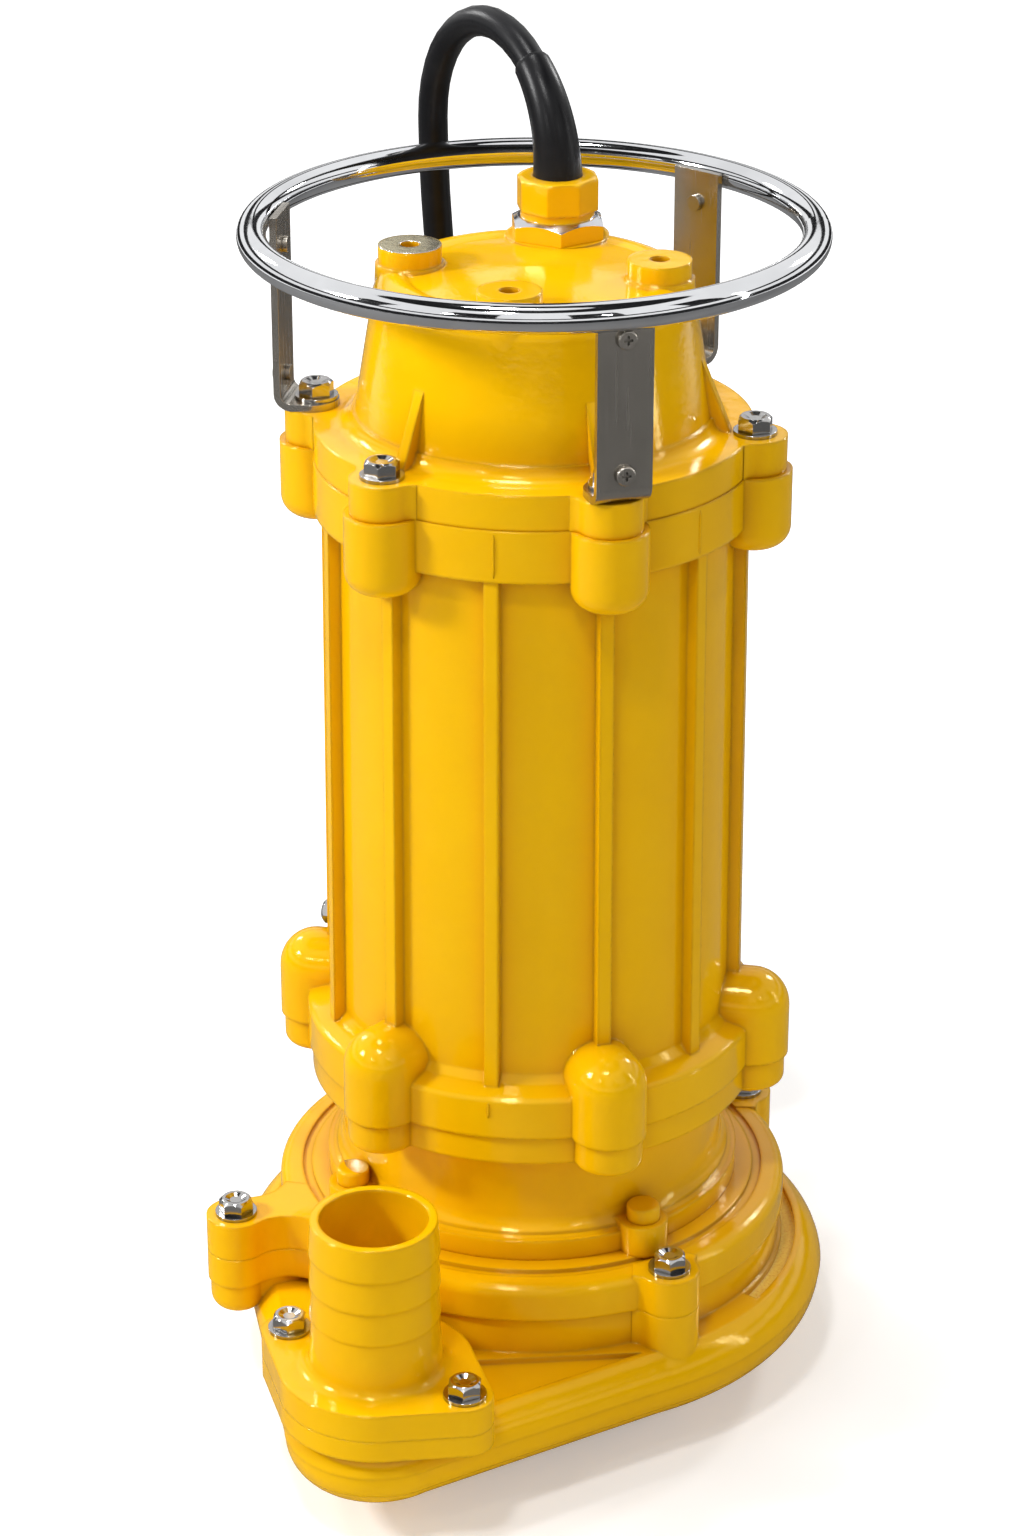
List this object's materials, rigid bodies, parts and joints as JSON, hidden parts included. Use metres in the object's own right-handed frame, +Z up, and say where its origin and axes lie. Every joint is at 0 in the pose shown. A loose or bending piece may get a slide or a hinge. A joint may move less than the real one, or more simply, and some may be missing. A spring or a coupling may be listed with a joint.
{
  "type": "sewage cutter pump",
  "caption": "Submersible sewage pump: ribbed motor frame, cone top cover with carrying ring, volute with barbed hose tail, cutter at the inlet, and a coiled power cable.",
  "frame": {"origin": "on the motor shaft's axis, in the plane that the feet stand on", "axes": "+Z up along the shaft, towards the carrying ring; -Y towards the side on which the hose tail stands; +X to the right of that side"},
  "size_m": [0.2715, 0.5355, 0.5813],
  "materials": {
    "paint": "gloss",
    "bright_steel": "satin",
    "chrome": "polished",
    "strap_steel": "satin",
    "machined_steel": "satin",
    "cast_iron": "matte",
    "aluminium": "satin",
    "copper": "satin",
    "rubber": "satin",
    "nylon": "satin"
  },
  "bodies": {
    "pump": {"volute_casing": "paint", "suction_plate": "paint", "suction_plate_screws": "bright_steel", "casing_o_ring": "rubber", "volute_cover": "paint", "cover_bolts": "bright_steel", "cover_washers": "bright_steel", "oil_chamber": "paint", "oil_chamber_screws": "paint", "oil_chamber_o_ring": "rubber", "oil_plug": "bright_steel", "lower_seal_seat": "machined_steel", "upper_seal_ring": "rubber", "lower_bearing_outer": "bright_steel", "motor_frame": "paint", "frame_screws": "paint", "frame_o_ring": "rubber", "earth_screw": "bright_steel", "stator_core": "machined_steel", "stator_windings": "copper", "bearing_bracket": "aluminium", "upper_bearing_outer": "bright_steel", "wave_washer": "bright_steel", "top_cover": "paint", "top_cover_bolts": "bright_steel", "top_cover_washers": "bright_steel", "top_cover_o_ring": "rubber", "gland_body": "bright_steel", "gland_nut": "paint", "gland_seal": "rubber", "cable_sleeve": "rubber", "handle_ring": "chrome", "handle_bracket_1": "strap_steel", "handle_bracket_2": "strap_steel", "handle_bracket_3": "strap_steel", "handle_screws": "strap_steel", "hose_tail": "paint", "hose_tail_gasket": "rubber", "hose_tail_bolts": "bright_steel", "hose_tail_washers": "bright_steel", "power_cable": "rubber", "cable_coil": "rubber", "cable_tail": "rubber", "cable_ties": "nylon", "cable_cores": "copper"},
    "rotor": {"rotor_shaft": "machined_steel", "rotor_core": "machined_steel", "rotor_end_rings": "aluminium", "lower_bearing_inner": "bright_steel", "upper_bearing_inner": "bright_steel", "seal_head": "machined_steel", "impeller": "cast_iron", "impeller_key": "machined_steel", "cutter_blade": "machined_steel", "cutter_screw": "bright_steel"},
    "lower_cage": {"lower_bearing_cage": "machined_steel"},
    "upper_cage": {"upper_bearing_cage": "machined_steel"}
  },
  "joints": [
    {"name": "rotor_spin", "type": "hinge", "parent": "pump", "child": "rotor", "pos_m": [0, 0, 0.275], "axis": [0, 0, -1], "continuous": true},
    {"name": "lower_cage_spin", "type": "hinge", "parent": "pump", "child": "lower_cage", "pos_m": [0, 0, 0.1427], "axis": [0, 0, -1], "continuous": true},
    {"name": "upper_cage_spin", "type": "hinge", "parent": "pump", "child": "upper_cage", "pos_m": [0, 0, 0.4272], "axis": [0, 0, -1], "continuous": true}
  ],
  "couplings": [
    {"joint": "lower_cage_spin", "follows": "rotor_spin", "ratio": 0.4},
    {"joint": "upper_cage_spin", "follows": "rotor_spin", "ratio": 0.4}
  ]
}
